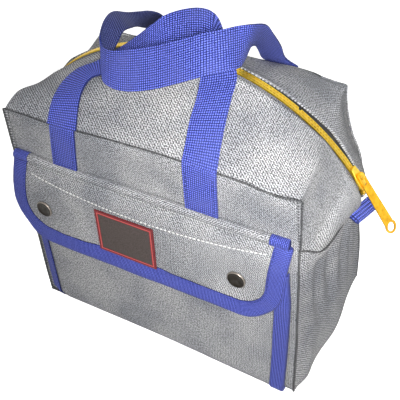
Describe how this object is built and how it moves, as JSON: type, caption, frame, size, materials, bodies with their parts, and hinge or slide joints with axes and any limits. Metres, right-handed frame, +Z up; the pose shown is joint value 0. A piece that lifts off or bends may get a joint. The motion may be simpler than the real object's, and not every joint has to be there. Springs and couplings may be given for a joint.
{
  "type": "tool bag",
  "caption": "Boxy canvas tool bag with an arched metal zip, snap-closed flap pockets on both broad sides, bound edges and two interlinked webbing carry handles.",
  "frame": {"origin": "centre of the base on the surface that the bag stands on", "axes": "+Z up, +X towards the end where the zip closes, -Y towards the front side with the patch"},
  "size_m": [0.3654, 0.1826, 0.3243],
  "materials": {
    "canvas": "grey cotton twill",
    "blue_webbing": "coarse royal blue webbing and tape",
    "zip_tape": "black woven tape",
    "zip_brass": "bright gold-coloured brass",
    "snap_metal": "dark antique plate",
    "base_board": "stiff board",
    "patch": "dark woven patch with a red edge"
  },
  "bodies": {
    "bag": {"back_panel": "canvas", "bottom_board": "base_board", "bottom_panel": "canvas", "end_panel_left": "canvas", "end_panel_right": "canvas", "end_tab_left": "blue_webbing", "end_tab_right": "blue_webbing", "flap_roll_back": "canvas", "flap_roll_front": "canvas", "front_panel": "canvas", "hood_back_end_left": "canvas", "hood_back_end_right": "canvas", "hood_front": "canvas", "pocket_binding_back_left": "blue_webbing", "pocket_binding_back_right": "blue_webbing", "pocket_binding_front_left": "blue_webbing", "pocket_binding_front_right": "blue_webbing", "pocket_panel_back": "canvas", "pocket_panel_front": "canvas", "snap_stud_back_left": "snap_metal", "snap_stud_back_right": "snap_metal", "snap_stud_front_left": "snap_metal", "snap_stud_front_right": "snap_metal", "strap_leg_back_left": "blue_webbing", "strap_leg_back_right": "blue_webbing", "strap_leg_front_left": "blue_webbing", "strap_leg_front_right": "blue_webbing", "zip_stop_left": "zip_brass", "zip_stop_right": "zip_brass", "zip_tape_back_left": "zip_tape", "zip_tape_back_right": "zip_tape", "zip_tape_front": "zip_tape", "zip_teeth_back_left": "zip_brass", "zip_teeth_back_right": "zip_brass", "zip_teeth_front": "zip_brass"},
    "mouth": {"hood_back": "canvas", "zip_tape_back": "zip_tape", "zip_teeth_back": "zip_brass"},
    "handle_back": {"handle_back": "blue_webbing"},
    "handle_front": {"handle_front": "blue_webbing"},
    "flap_front": {"flap_binding_front": "blue_webbing", "flap_front": "canvas", "label_patch": "patch", "snap_cap_front_left": "snap_metal", "snap_cap_front_right": "snap_metal", "snap_socket_front_left": "snap_metal", "snap_socket_front_right": "snap_metal"},
    "flap_back": {"flap_back": "canvas", "flap_binding_back": "blue_webbing", "snap_cap_back_left": "snap_metal", "snap_cap_back_right": "snap_metal", "snap_socket_back_left": "snap_metal", "snap_socket_back_right": "snap_metal"},
    "slider": {"zip_slider": "zip_brass", "zip_slider_underplate": "zip_brass"},
    "pull": {"zip_pull": "zip_brass"}
  },
  "joints": [
    {"name": "mouth_hinge", "type": "hinge", "parent": "bag", "child": "mouth", "pos_m": [0, 0.078, 0.237], "axis": [-1, 0, 0], "range_deg": [0, 45]},
    {"name": "handle_back_hinge", "type": "hinge", "parent": "mouth", "child": "handle_back", "pos_m": [0, 0.0791, 0.2378], "axis": [-1, 0, 0], "range_deg": [0, 90]},
    {"name": "handle_front_hinge", "type": "hinge", "parent": "bag", "child": "handle_front", "pos_m": [0, -0.0791, 0.2378], "axis": [1, 0, 0], "range_deg": [0, 31.5]},
    {"name": "flap_front_hinge", "type": "hinge", "parent": "bag", "child": "flap_front", "pos_m": [0, -0.0786, 0.19], "axis": [-1, 0, 0], "range_deg": [0, 95]},
    {"name": "flap_back_hinge", "type": "hinge", "parent": "bag", "child": "flap_back", "pos_m": [0, 0.0786, 0.19], "axis": [1, 0, 0], "range_deg": [0, 95]},
    {"name": "slider_run", "type": "hinge", "parent": "bag", "child": "slider", "pos_m": [-0.003, 0, 0.091], "axis": [0, -1, 0], "range_deg": [0, 105]},
    {"name": "pull_hinge", "type": "hinge", "parent": "slider", "child": "pull", "pos_m": [0.15933, 0, 0.20808], "axis": [0, -1, 0], "range_deg": [0, 140]}
  ],
  "couplings": [
    {"joint": "handle_front_hinge", "follows": "handle_back_hinge", "ratio": 0.35}
  ]
}
